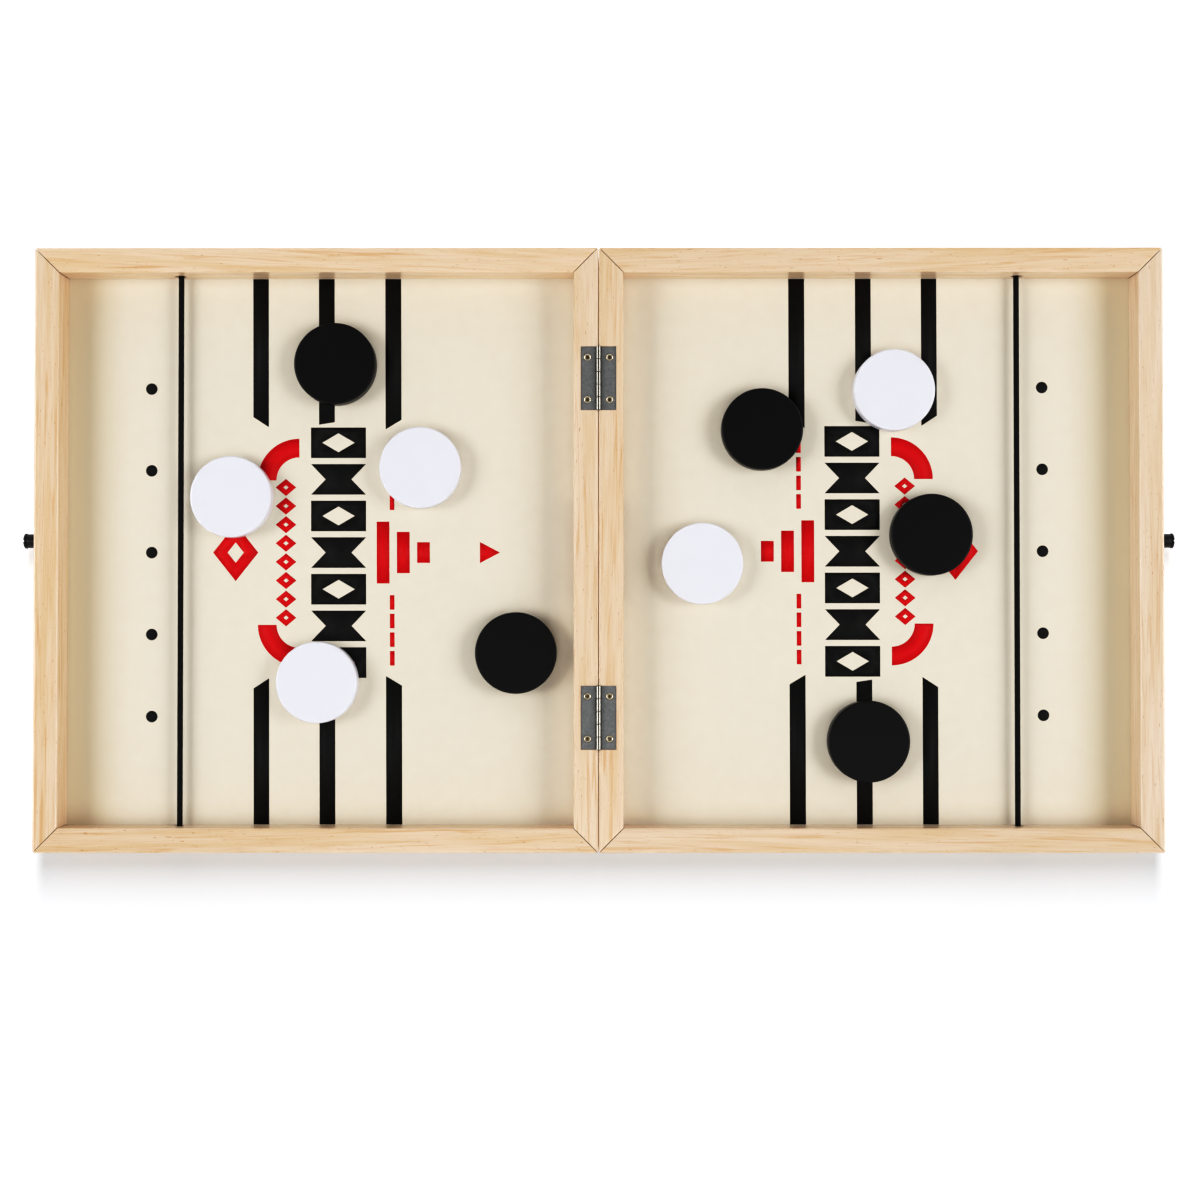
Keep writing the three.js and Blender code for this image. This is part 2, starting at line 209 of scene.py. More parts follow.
beyond = add(tree, "ShaderNodeMapRange", {"Value": offset.outputs["Y"], "From Min": seam_shade_end[0] * MM,
                                          "From Max": seam_shade_end[1] * MM})
# Painted shadow: the glow is off within 0.4 to 0.8 mm of the seam, as far as 149 mm to front and back.
unshaded_floor = add(tree, "ShaderNodeMath", {0: beside.outputs[0], 1: beyond.outputs[0]},
                 operation="MAXIMUM")
glow = add(tree, "ShaderNodeMath", {0: unshaded_floor.outputs[0], 1: floor_glow}, operation="MULTIPLY")
tree.links.new(glow.outputs[0], shader.inputs["Emission Strength"])
shader.inputs["Emission Color"].default_value = linear("#FFFFFF")
shader.inputs["Base Color"].default_value = linear("#F3F5F9")
shader.inputs["Roughness"].default_value = 0.9
shader.inputs["Specular IOR Level"].default_value = 0.2

lines = np.linspace(-floor_reach, floor_reach, floor_lines)
level = np.full((floor_lines, floor_lines), -floor_depth * MM)
flat = np.stack([*np.meshgrid(lines, lines), level], -1)
floor = build("floor", [(flat, False, (2 * floor_reach, 2 * floor_reach))], paper)

# The boxes round the game leave the sweep out, and the box behind lights nothing else.
sweep_alone = bpy.data.collections.new("sweep_alone")
all_but_sweep = bpy.data.collections.new("all_but_sweep")
for lit, state in ((sweep_alone, "INCLUDE"), (all_but_sweep, "EXCLUDE")):
    lit.objects.link(floor)
    lit.collection_objects[0].light_linking.link_state = state
for name, box in soft_boxes.items():
    lamp = soft_box(name, *box)
    lamp.light_linking.receiver_collection = sweep_alone if name == "sweep_box" else all_but_sweep

# Tray rails
# Eight planed pine rails, mitred and glued at the corners, with softened arrises. The centre
# rails are cut through for the gate and let in for the hinges, and the side rails are bored for
# the cords. Clear satin lacquer: pale straw wood with honey streaks that run along each rail.

# Each rail: the way it runs in degrees, how far its grain leaves that, where in the plank it was
# cut, in millimetres, and how rich and how light its wood is beside the common tone.
rails = {
    "left_back_rail": (0, 2.2, (31, 4, 9), 1.05, 1.03),
    "left_front_rail": (0, -1.4, (131, 44, 5), 1.08, 0.95),
    "left_end_rail": (90, 1.0, (17, 71, 2), 1.05, 0.98),
    "left_centre_rail": (90, -0.6, (83, 12, 61), 0.955, 1.01),
    "right_back_rail": (0, -2.0, (211, 93, 33), 1.03, 1.00),
    "right_front_rail": (0, 1.2, (57, 25, 14), 1.03, 0.94),
    "right_end_rail": (90, -0.8, (151, 38, 77), 0.87, 0.98),
    "right_centre_rail": (90, 0.7, (7, 59, 41), 1.01, 1.00),
}
# Upright faces are painted lighter than the tops by this much, as painted light, up to the arris between
# these heights.
painted_side_light = 1.09
arris_low = 24.3
arris_high = 24.9


def pine(name, turn, tilt, start, richness, lightness):
    """Planed pine under clear lacquer. The grain runs along the rail and leaves it by a degree or
    two. Growth rings 5 mm apart show as soft honey bands, fibres 0.5 mm apart as fine lines, and
    short resin pores about 3 mm long as specks. The upright faces are painted paler, as painted light."""
    made, tree, shader = surface(name)
    place = add(tree, "ShaderNodeTexCoord").outputs["Object"]
    plank = add(tree, "ShaderNodeMapping", {"Vector": place, "Location": start,
                                            "Scale": (1 / MM, 1 / MM, 1 / MM),
                                            "Rotation": (0, 0, math.radians(tilt - turn))})

    def grain(along, across, detail, distortion=0.0):
        stretched = add(tree, "ShaderNodeVectorMath",
                        {0: plank.outputs[0], 1: (1 / along, 1 / across, 1 / across)},
                        operation="MULTIPLY")
        return add(tree, "ShaderNodeTexNoise", {"Vector": stretched.outputs[0], "Scale": 1.0,
                                                "Detail": detail, "Distortion": distortion}).outputs[0]

    def step(value, low, high, top=1.0):
        return add(tree, "ShaderNodeMapRange",
                   {"Value": value, "From Min": low, "From Max": high, "To Max": top},
                   interpolation_type="SMOOTHSTEP").outputs[0]

    def mix(factor, under, over):
        return add(tree, "ShaderNodeMix", {"Factor": factor, 6: under, 7: over},
                   data_type="RGBA").outputs[2]

    colour = mix(step(grain(90, 5.0, 2.0, 0.8), 0.35, 0.72), linear("#E8D2BA"), linear("#E1C7A7"))
    bands = step(grain(60, 2.2, 3.0, 1.2), 0.52, 0.74, 0.75)
    colour = mix(bands, colour, linear("#D6AD82"))
    fibres = step(grain(22, 0.5, 2.0), 0.45, 0.75, 0.30)
    colour = mix(fibres, colour, linear("#CCA073"))
    pores = step(grain(3.2, 0.55, 1.0), 0.70, 0.78, 0.65)
    colour = mix(pores, colour, linear("#B47C44"))
    height = add(tree, "ShaderNodeSeparateXYZ", {0: place}).outputs["Z"]
    # Painted light: the upright faces below the arris are painted lighter than the tops.
    side = add(tree, "ShaderNodeMapRange", {"Value": height, "From Min": arris_low * MM,
                                            "From Max": arris_high * MM,
                                            "To Min": lightness * painted_side_light, "To Max": lightness})
    tone = add(tree, "ShaderNodeHueSaturation", {"Color": colour, "Saturation": richness,
                                                 "Value": side.outputs[0]})
    tree.links.new(tone.outputs[0], shader.inputs["Base Color"])
    gloss = add(tree, "ShaderNodeMapRange", {"Value": bands, "To Min": 0.23, "To Max": 0.17})
    tree.links.new(gloss.outputs[0], shader.inputs["Roughness"])
    shader.inputs["Specular IOR Level"].default_value = 0.7
    relief = add(tree, "ShaderNodeBump", {"Height": grain(30, 0.6, 2.0), "Strength": 0.12,
                                          "Distance": 0.1 * MM})
    tree.links.new(relief.outputs[0], shader.inputs["Normal"])
    return made


def dress(name, material):
    """Give a CAD node its finish."""
    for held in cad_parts[name].material_slots:
        held.material = material


for rail, cut in rails.items():
    dress(rail, pine(f"pine_{rail}", *cut))

# Playing boards
# Thin fibreboard slid into the rails' grooves, faced with smooth cream paper under a matt
# varnish: an even warm cream with faint clouds 7 mm across and a fine tooth. Along the end rails it
# is painted a darker honey tone: painted shade with the warm light that the rails throw back.
honey_shade_start = 236
honey_shade_full = 264

cream, tree, shader = surface("cream_faced_board")
place = add(tree, "ShaderNodeTexCoord").outputs["Object"]
clouds = add(tree, "ShaderNodeTexNoise", {"Vector": place, "Scale": 0.14 / MM, "Detail": 4.0})
faint = add(tree, "ShaderNodeMapRange", {"Value": clouds.outputs[0], "From Min": 0.3, "From Max": 0.7})
cast = add(tree, "ShaderNodeMix", {"Factor": faint.outputs[0], 6: linear("#E3DBCB"),
                                   7: linear("#E5DECE")}, data_type="RGBA")
offset = add(tree, "ShaderNodeVectorMath", {0: place}, operation="ABSOLUTE")
offset = add(tree, "ShaderNodeSeparateXYZ", {0: offset.outputs[0]})
# Painted shade: from 236 mm out the board is painted a darker honey tone, in full by 264 mm.
painted_rail_shade = add(tree, "ShaderNodeMapRange",
               {"Value": offset.outputs["X"], "From Min": honey_shade_start * MM,
                "From Max": honey_shade_full * MM}, interpolation_type="SMOOTHSTEP")
cast = add(tree, "ShaderNodeMix", {"Factor": painted_rail_shade.outputs[0], 6: cast.outputs[2],
                                   7: linear("#DFD3B9")}, data_type="RGBA")
tree.links.new(cast.outputs[2], shader.inputs["Base Color"])
fibres = add(tree, "ShaderNodeTexNoise", {"Vector": place, "Scale": 1.6 / MM, "Detail": 2.0})
tooth = add(tree, "ShaderNodeBump", {"Height": fibres.outputs[0], "Strength": 0.06,
                                     "Distance": 0.05 * MM})
tree.links.new(tooth.outputs[0], shader.inputs["Normal"])
shader.inputs["Roughness"].default_value = 0.58
shader.inputs["Specular IOR Level"].default_value = 0.3
for side in ("left", "right"):
    dress(f"{side}_board", cream)

# Print on the boards
# Two inks screen printed on the cream facing: black stripes, dots and a chequered band, and red
# motifs around it. Each ink is a film a few hundredths of a millimetre thick.

# Places are millimetres outwards from the seam (u) and towards the back (v).
film_top = 6.03
film_thickness = 0.024
field_edge = 137.7
print_shift = {"left": (0.0, -0.7), "right": (-3.3, -0.1)}
print_lean = {"left": 0.0034, "right": 0.0017}
# Black stripes: nearer and farther side, and where each side ends. They run on under the rails.
stripes = ((99.4, 107.4, 67.1, 62.3), (133.1, 141.0, 65.9, 64.7), (166.4, 174.2, 63.4, 68.5))
stripe_reach = 139.0
# Black dots in a row beside the cord.
dot_place = {"left": 225.6, "right": 227.2}
dot_pitch = 41.35
dot_radius = 2.9
dots_each_way = 2
# Chequered band: blocks with a diamond cut out, and blocks drawn in at the waist between them.
block_count = 7
block_pitch = 18.5
block_start = -63.2
block_span = (117.4, 145.1)
block_width = 15.4
cut_out = (8.2, 4.8)
waist_half = 6.5
# Red diamonds: place, half width, half height, and the share of them that is hollow.
large_diamond = (183.2, 11.4, 14.4, 0.36)
small_diamond = (157.8, 5.2, 4.3, 0.26)
small_diamond_rows = np.arange(-3.5, 4)
# Red arcs at the corners of the band, dashes along it, bars beside it and a tip that points inwards.
arc_middle = (151.0, 36.5)
arc_radii = (11.6, 21.0)
motif_pitch = 9.4
dash_span = (103.1, 105.4)
dash_start = 21.5
dash_length = 7.3
dash_count = 4
bars = ((105.6, 15.6), (95.4, 10.4), (85.2, 5.2))
bar_width = 6.4
tip_base = (59.9, 5.3)
tip_point = 49.8


def rectangle(u0, u1, v0, v1):
    """The four corners of a rectangle as a two by two grid."""
    return np.array([[(u0, v0), (u1, v0)], [(u0, v1), (u1, v1)]], float), False


def hoop(outer, inner):
    """The strip between two closed outlines that have the same number of points."""
    return np.stack([np.array(outer, float), np.array(inner, float)]), True


def diamond_outline(u, v, wide, high):
    """Eight points round a diamond of half width wide and half height high: |u| + |v| is one."""
    turns = np.arange(8) * np.pi / 4
    unit = np.stack([np.cos(turns), np.sin(turns)], -1)
    unit /= np.abs(unit).sum(1, keepdims=True)
    return unit * (wide, high) + (u, v)


def diamond(u, v, wide, high, hollow):
    """A diamond, hollow inside that share of its size."""
    return hoop(diamond_outline(u, v, wide, high), diamond_outline(u, v, wide * hollow, high * hollow))


def arc(u, v, inner, outer, start, end):
    """Part of a ring: radius from inner to outer, angle from start to end in degrees."""
    angle = np.radians(np.linspace(start, end, 25))[None, :]
    radius = np.array([inner, outer])[:, None]
    return np.stack([u + radius * np.cos(angle), v + radius * np.sin(angle)], -1), False


def disc(u, v, radius):
    """Rings of points from the middle out to radius."""
    angle = np.arange(40) * np.pi / 20
    rings = np.linspace(0, 1, 3)[:, None] * radius
    return np.stack([u + rings * np.cos(angle), v + rings * np.sin(angle)], -1), True


def printed(name, side, shapes, ink):
    """Lay shapes, drawn as (u, v), on one board as a film of ink. Each print was laid with a shift
    of its own and a lean to the left, a share of the way to the back, and stops at the rails."""
    sign = -1 if side == "left" else 1
    shift_u, shift_v = print_shift[side]
    patches = []
    for grid, wraps in shapes:
        v = np.clip(grid[..., 1] + shift_v, -field_edge, field_edge)
        x = sign * (grid[..., 0] + shift_u) - print_lean[side] * v
        patches.append((np.stack([x, v, np.full_like(v, film_top)], -1) * MM, wraps, (0.01, 0.01)))
    film = build(name, patches, ink, f"{side}_tray")
    for face in film.data.polygons:
        if face.normal.z < 0:
            face.flip()
    wall = film.modifiers.new("film", "SOLIDIFY")
    wall.thickness = film_thickness * MM
    wall.offset = -1


def ink(name, colour, roughness):
    """Screen ink: even, half matt, a little thinner in patches 4 mm across."""
    made, tree, shader = surface(name)
    place = add(tree, "ShaderNodeTexCoord").outputs["Object"]
    patchy = add(tree, "ShaderNodeTexNoise", {"Vector": place, "Scale": 0.26 / MM, "Detail": 3.0})
    thin = add(tree, "ShaderNodeMapRange", {"Value": patchy.outputs[0], "From Min": 0.3,
                                            "From Max": 0.8, "To Max": 0.015})
    tone = add(tree, "ShaderNodeMix", {"Factor": thin.outputs[0], 6: linear(colour),
                                       7: linear("#8A7E70")}, data_type="RGBA")
    tree.links.new(tone.outputs[2], shader.inputs["Base Color"])
    shader.inputs["Roughness"].default_value = roughness
    shader.inputs["Specular IOR Level"].default_value = 0.18
    return made


black_ink = ink("black_screen_ink", "#131313", 0.6)
red_ink = ink("red_screen_ink", "#D20010", 0.55)

for side in ("left", "right"):
    black = []
    for near, far, near_end, far_end in stripes:
        for up in (1, -1):
            ends = [[(near, up * near_end), (far, up * far_end)],
                    [(near, up * stripe_reach), (far, up * stripe_reach)]]
            black.append((np.array(ends, float), False))
    u0, u1 = block_span
    um = (u0 + u1) / 2
    for index in range(block_count):
        v0 = block_start + index * block_pitch
        v1 = v0 + block_width
        vm = (v0 + v1) / 2
        if index % 2 == 0:
            outer = [(u1, vm), (u1, v1), (um, v1), (u0, v1), (u0, vm), (u0, v0), (um, v0), (u1, v0)]
            black.append(hoop(outer, diamond_outline(um, vm, *cut_out)))
        else:
            waist = [[(u0, v0), (u1, v0)], [(um - waist_half, vm), (um + waist_half, vm)],
                     [(u0, v1), (u1, v1)]]
            black.append((np.array(waist, float), False))
    for step in range(-dots_each_way, dots_each_way + 1):
        black.append(disc(dot_place[side], step * dot_pitch, dot_radius))
    printed(f"{side}_black_print", side, black, black_ink)

    red = [diamond(large_diamond[0], 0, *large_diamond[1:])]
    for up in (1, -1):
        red.append(arc(arc_middle[0], up * arc_middle[1], *arc_radii, 0, up * 90))
        for index in range(dash_count):
            start = dash_start + motif_pitch * index
            red.append(rectangle(*dash_span, up * start, up * (start + dash_length)))
    for row in small_diamond_rows:
        red.append(diamond(small_diamond[0], motif_pitch * row, *small_diamond[1:]))
    for near, half in bars:
        red.append(rectangle(near, near + bar_width, -half, half))
    tip = [[(tip_base[0], -tip_base[1]), (tip_base[0], tip_base[1])], [(tip_point, 0), (tip_point, 0)]]
    red.append((np.array(tip, float), False))
    printed(f"{side}_red_print", side, red, red_ink)

# Pucks
# Ten turned beech discs, five dipped black and five white, rubbed down between coats: a smooth
# silky face with softened edges. They lie loose on the boards.
puck_radius = 20.4
puck_height = 9.0
puck_edge = 0.8
puck_facets = 96


def turned(profile, around, place, axes=((1, 0, 0), (0, 1, 0), (0, 0, 1))):
    """A profile of (radius, height) in millimetres carried round an axis. The three axes are the
    directions of angle zero, of a quarter turn, and of height."""
    profile = np.array(profile, float)
    angle = np.arange(around) * 2 * np.pi / around
    radius, height = profile[:, :1], profile[:, 1:]
    local = np.stack([radius * np.cos(angle), radius * np.sin(angle), height + 0 * angle], -1)
    return (local @ np.array(axes, float) + np.array(place, float)) * MM


def rounded(radius, height, edge, steps=6):
    """A disc's section from the middle of its base to the middle of its top, edges rounded."""
    turn = np.linspace(-np.pi / 2, 0, steps + 1)
    low = np.stack([radius - edge + edge * np.cos(turn), edge + edge * np.sin(turn)], -1)
    high = np.stack([low[::-1, 0], height - low[::-1, 1]], -1)
    base = [(0, 0), (radius * 0.5, 0), (radius - edge * 1.3, 0)]
    top = [(radius - edge * 1.3, height), (radius * 0.5, height), (0, height)]
    return np.concatenate([base, low, high, top])


def lacquer(name, colour, shade, roughness, shine):
    """Dipped lacquer: silky, with clouds 11 mm across and a faint orange peel 1.5 mm across."""
    made, tree, shader = surface(name)
    place = add(tree, "ShaderNodeTexCoord").outputs["Object"]
    cloudy = add(tree, "ShaderNodeTexNoise", {"Vector": place, "Scale": 0.09 / MM, "Detail": 4.0})
    tone = add(tree, "ShaderNodeMix", {"Factor": cloudy.outputs[0], 6: linear(colour), 7: linear(shade)},
               data_type="RGBA")
    tree.links.new(tone.outputs[2], shader.inputs["Base Color"])
    peel = add(tree, "ShaderNodeTexNoise", {"Vector": place, "Scale": 0.65 / MM, "Detail": 2.0})
    bump = add(tree, "ShaderNodeBump", {"Height": peel.outputs[0], "Strength": 0.05, "Distance": 0.1 * MM})
    tree.links.new(bump.outputs[0], shader.inputs["Normal"])
    shader.inputs["Roughness"].default_value = roughness
    shader.inputs["Specular IOR Level"].default_value = shine
    return made


black_lacquer = lacquer("black_lacquered_beech", "#0A0A0A", "#0D0D0D", 0.4, 0.25)
white_lacquer = lacquer("white_lacquered_beech", "#E5E5ED", "#E9E9F1", 0.30, 0.5)
for colour, finish in (("black", black_lacquer), ("white", white_lacquer)):
    for number in range(1, 6):
        low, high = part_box(f"{colour}_puck_{number}")
        place = ((low.x + high.x) / 2 / MM, (low.y + high.y) / 2 / MM, low.z / MM)
        section = turned(rounded(puck_radius, puck_height, puck_edge), puck_facets, place)
        puck = build(f"{colour}_puck_{number}_disc", [(section, True, (0.04, 0.12))], finish,
                     f"{colour}_{number}")
        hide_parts(f"{colour}_puck_{number}")

# Slings
# One braided elastic cord, 2.8 mm thick, across each tray, drawn tight through holes in the side
# rails and knotted in their counterbores. The cord bows outwards between its holes when it is
# pulled; here it is drawn straight.
cord_radius = 1.4
cord_height = 10.6
cord_step = 0.35
braid_pitch = 5.2
braid_strands = 8
braid_relief = 0.09
knot_middle = 146.5
knot_height = 11.4
knot_cord_radius = 1.0
knot_ring = 2.05
knot_swing = 1.0
knot_depth = 1.15
knot_points = 240
knot_sides = 16
tail_end = 149.5
tail_radius = 1.15
tail_offset = (0.6, -0.5)
tail_points = 12

# Rayon braid over rubber: soft black, 8 strands each way in 5.2 mm. The crowns of the strands
# are painted a lighter black, a painted sheen, and the grooves between them near black, painted
# shade.
elastic, tree, shader = surface("black_braided_elastic")
uv = add(tree, "ShaderNodeUVMap", uv_map="UVMap").outputs[0]
split = add(tree, "ShaderNodeSeparateXYZ", {0: uv})


def maths(operation, first, second=0.0):
    """One sum on two values or sockets of the cord's material."""
    return add(tree, "ShaderNodeMath", {0: first, 1: second}, operation=operation).outputs[0]


circumference = 2 * math.pi * cord_radius * MM
around = maths("MULTIPLY", split.outputs["Y"], 2 * math.pi / circumference)
along = maths("MULTIPLY", split.outputs["X"], 2 * math.pi / (braid_pitch * MM))
lays = [maths("ABSOLUTE", maths("SINE", maths("MULTIPLY", maths(sign, around, along), braid_strands / 2)))
        for sign in ("ADD", "SUBTRACT")]
# Painted sheen and shade: the base colour is lighter on the crowns of the strands and near black in the
# grooves.
crown = maths("MAXIMUM", *lays)
tone = add(tree, "ShaderNodeMix", {"Factor": crown, 6: linear("#020202"), 7: linear("#121212")},
           data_type="RGBA")
tree.links.new(tone.outputs[2], shader.inputs["Base Color"])
shader.inputs["Roughness"].default_value = 0.75
shader.inputs["Sheen Weight"].default_value = 0.03
shader.inputs["Specular IOR Level"].default_value = 0.15


def braided(path, radius, sides=24):
    """A tube round a path: the section is a circle whose radius swells where a strand of either
    lay passes over, |sin| of the angle plus and minus the turn along the cord. Gives its grid,
    with both ends closed, and its length in metres."""
    path = np.array(path, float)
    ahead = np.gradient(path, axis=0)
    ahead /= np.linalg.norm(ahead, axis=1, keepdims=True)
    up = np.array([0.0, 0.0, 1.0]) - ahead * ahead[:, 2:]
    short = np.linalg.norm(up, axis=1) < 0.2
    up[short] = np.array([1.0, 0.0, 0.0]) - ahead[short] * ahead[short][:, :1]
    up /= np.linalg.norm(up, axis=1, keepdims=True)
    side = np.cross(ahead, up)
    run = np.concatenate([[0], np.cumsum(np.linalg.norm(np.diff(path, axis=0), axis=1))])
    angle = np.arange(sides) * 2 * np.pi / sides
    twist = 2 * np.pi * run[:, None] / braid_pitch
    lays = [np.abs(np.sin((angle + sign * twist) * braid_strands / 2)) for sign in (1, -1)]
    size = radius - braid_relief + braid_relief * np.maximum(*lays)
    round_path = np.cos(angle)[:, None] * up[:, None] + np.sin(angle)[:, None] * side[:, None]
    tube = path[:, None] + size[..., None] * round_path
    ends = [np.repeat(path[:1, None], sides, 1), np.repeat(path[-1:, None], sides, 1)]
    return np.concatenate([ends[0], tube, ends[1]]) * MM, run[-1] * MM


def overhand(x, y, z):
    """An overhand knot drawn tight: a closed line that winds twice round the cord's direction
    while it turns three times round its own ring. The strands press against each other, and
    the knots at the front are mirror images of those at the back."""
    t = np.linspace(0, 2 * np.pi, knot_points)
    ring = knot_ring + knot_swing * np.cos(3 * t)
    depth = math.copysign(knot_depth, y)
    return np.stack([x + ring * np.cos(2 * t), y + depth * np.sin(3 * t), z + ring * np.sin(2 * t)], -1)


for side in ("left", "right"):
    low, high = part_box(f"{side}_sling_cord")
    x = (low.x + high.x) / 2 / MM
    for end, way in (("back", 1), ("front", -1)):
        reach = np.arange(0, knot_middle - 1.0, cord_step)
        path = np.stack([np.full_like(reach, x), way * reach, np.full_like(reach, cord_height)], -1)
        tube, length = braided(path, cord_radius)
        cord = build(f"{side}_sling_{end}_half", [(tube[1:], True, (length, circumference))], elastic,
                     crease=180)
        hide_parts(f"{side}_sling_cord")
        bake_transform(cord)
        loop, length = braided(overhand(x, way * knot_middle, knot_height), knot_cord_radius, knot_sides)
        reach = np.linspace(knot_middle, tail_end, tail_points)
        tail = np.stack([np.full_like(reach, x + tail_offset[0]), way * reach,
                         np.full_like(reach, knot_height + tail_offset[1])], -1)
        stub, stub_length = braided(tail, tail_radius, knot_sides)
        knot = build(f"{side}_sling_{end}_knot",
                     [(loop[1:-1], True, (length, circumference)),
                      (stub, True, (stub_length, circumference))],
                     elastic, f"{side}_tray", crease=180)
        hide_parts(f"{side}_sling_cord")

# Hinges
# Two steel butt hinges let into the rims of the centre rails. Each leaf is one strip whose ends
# are rolled into knuckles round a riveted pin: dull blackened steel, rubbed brighter over the
# barrel's crown, and painted near black on the barrel's flanks below it as painted shade.
leaf_half = 15.7
leaf_reach = 8.7
leaf_sheet = 0.6
leaf_gap = 0.1
leaf_edge = 0.07
barrel = 1.45
knuckle_count = 5
knuckle_gap = 0.34
roll_end = -20.2
roll_steps = 40
screw_u = 5.5
screw_v = 10.519
hole_radius = 1.92
hole_square = 2.5
hole_steps = 8
fold_height = 25.15
hinge_places = {"back_hinge": 85.0, "front_hinge": -83.2}


def steel(name, dark, light, roughness, coats=()):
    """Steel with a clouded skin, clouds 1.25 mm across, and fine rolling lines. Each coat is another
    colour and roughness from a height in millimetres upwards, over a soft edge a fifth of one wide.
    On the hinges the coats are painted shade and wear, on the screws a painted highlight."""
    made, tree, shader = surface(name)
    place = add(tree, "ShaderNodeTexCoord").outputs["Object"]
    height = add(tree, "ShaderNodeSeparateXYZ", {0: place}).outputs["Z"]
    cloudy = add(tree, "ShaderNodeTexNoise", {"Vector": place, "Scale": 0.8 / MM, "Detail": 4.0})
    spread = add(tree, "ShaderNodeMapRange", {"Value": cloudy.outputs[0], "From Min": 0.3,
                                              "From Max": 0.7})
    tone = add(tree, "ShaderNodeMix", {"Factor": spread.outputs[0], 6: linear(dark), 7: linear(light)},
               data_type="RGBA").outputs[2]
    gloss = add(tree, "ShaderNodeMapRange", {"Value": cloudy.outputs[0], "To Min": roughness - 0.08,
                                             "To Max": roughness + 0.08}).outputs[0]
    for colour, smooth, start in coats:
        above = add(tree, "ShaderNodeMapRange", {"Value": height, "From Min": start * MM,
                                                 "From Max": (start + 0.2) * MM}).outputs[0]
        tone = add(tree, "ShaderNodeMix", {"Factor": above, 6: tone, 7: linear(colour)},
                   data_type="RGBA").outputs[2]
        gloss = add(tree, "ShaderNodeMix", {"Factor": above, "A": gloss, "B": smooth}).outputs[0]
    tree.links.new(tone, shader.inputs["Base Color"])
    tree.links.new(gloss, shader.inputs["Roughness"])
    shader.inputs["Metallic"].default_value = 1.0
    stretched = add(tree, "ShaderNodeMapping", {"Vector": place, "Scale": (3 / MM, 0.2 / MM, 3 / MM)})
    lines = add(tree, "ShaderNodeTexNoise", {"Vector": stretched.outputs[0], "Scale": 1.0, "Detail": 2.0})
    bump = add(tree, "ShaderNodeBump", {"Height": lines.outputs[0], "Strength": 0.10,
                                        "Distance": 0.05 * MM})
    tree.links.new(bump.outputs[0], shader.inputs["Normal"])
    return made


# Painted shade: the first coat paints the barrel's flanks near black from 24.6 mm up. The second is the
# rubbed crown, smoother, from 26.05 mm up.
shaded_barrel_steel = steel("blackened_steel_shaded_barrel", "#828383", "#979898", 0.62,
                    (("#3A3937", 0.45, 24.6), ("#918E87", 0.23, 26.05)))
pin_steel = steel("pin_steel", "#4E4D4B", "#5C5B58", 0.35)


def knuckles(first):
    """The lowest and highest v of every other knuckle of the barrel, from the first one on."""
    pitch = 2 * leaf_half / knuckle_count
    spans = []
    for index in range(first, knuckle_count, 2):
        low = index * pitch - leaf_half
        high = low + pitch
        spans.append((low if index == 0 else low + knuckle_gap / 2,
                      high if index == knuckle_count - 1 else high - knuckle_gap / 2))
    return spans


def leaf_patches(side_sign, place_v, first):
    """The strip's middle surface. Flat part: a grid of lines across and along, with each screw
    hole opened as rings between a square of the grid and a circle. Rolled part: the section goes
    under the pin, round its far side and over it at a constant radius."""
    middle = barrel - leaf_sheet / 2
    start = barrel + leaf_gap
    square = hole_square * np.linspace(-1, 1, hole_steps + 1)
    spans = knuckles(first)
    lines_u = np.concatenate([[start], screw_u + square, [leaf_reach]])
    lines_v = np.concatenate([[-leaf_half, leaf_half], np.ravel(spans),
                              screw_v + square, -screw_v + square])
    lines_v = np.unique(np.round(lines_v, 6))

    def patch(u, v, w, wraps=False):
        points = np.stack([side_sign * u, v + place_v, w + fold_height], -1) * MM
        return points, wraps, (0.001, 0.001)

    patches = []
    for i in range(len(lines_u) - 1):
        for j in range(len(lines_v) - 1):
            u_mid, v_mid = lines_u[i:i + 2].mean(), lines_v[j:j + 2].mean()
            if abs(u_mid - screw_u) < hole_square and abs(abs(v_mid) - screw_v) < hole_square:
                continue
            u, v = np.meshgrid(lines_u[i:i + 2], lines_v[j:j + 2])
            patches.append(patch(u, v, np.full_like(u, -middle)))
    for hole_v in (-screw_v, screw_v):
        inside = lines_v[np.abs(lines_v - hole_v) <= hole_square + 1e-6] - hole_v
        near, far = np.full(len(inside) - 1, -hole_square), np.full(len(inside) - 1, hole_square)
        low, high = np.full(hole_steps, -hole_square), np.full(hole_steps, hole_square)
        loop = np.concatenate([np.stack([square[:-1], low], -1), np.stack([far, inside[:-1]], -1),
                               np.stack([square[:0:-1], high], -1), np.stack([near, inside[:0:-1]], -1)])
        circle = loop / np.linalg.norm(loop, axis=1, keepdims=True) * hole_radius
        rings = circle + (loop - circle) * np.linspace(1, 0, 4)[:, None, None]
        u, v = rings[..., 0] + screw_u, rings[..., 1] + hole_v
        patches.append(patch(u, v, np.full_like(u, -middle), True))
    turn = np.radians(np.linspace(-90, -360 + roll_end, roll_steps + 1))
    section = np.concatenate([[(start, -middle), (start / 2, -middle)],
                              np.stack([middle * np.cos(turn), middle * np.sin(turn)], -1)])
    for low, high in spans:
        cuts = lines_v[(lines_v >= low - 1e-6) & (lines_v <= high + 1e-6)]
        u, v = np.meshgrid(section[:, 0], cuts, indexing="ij")
        patches.append(patch(u, v, np.repeat(section[:, 1:], len(cuts), 1)))
    return patches


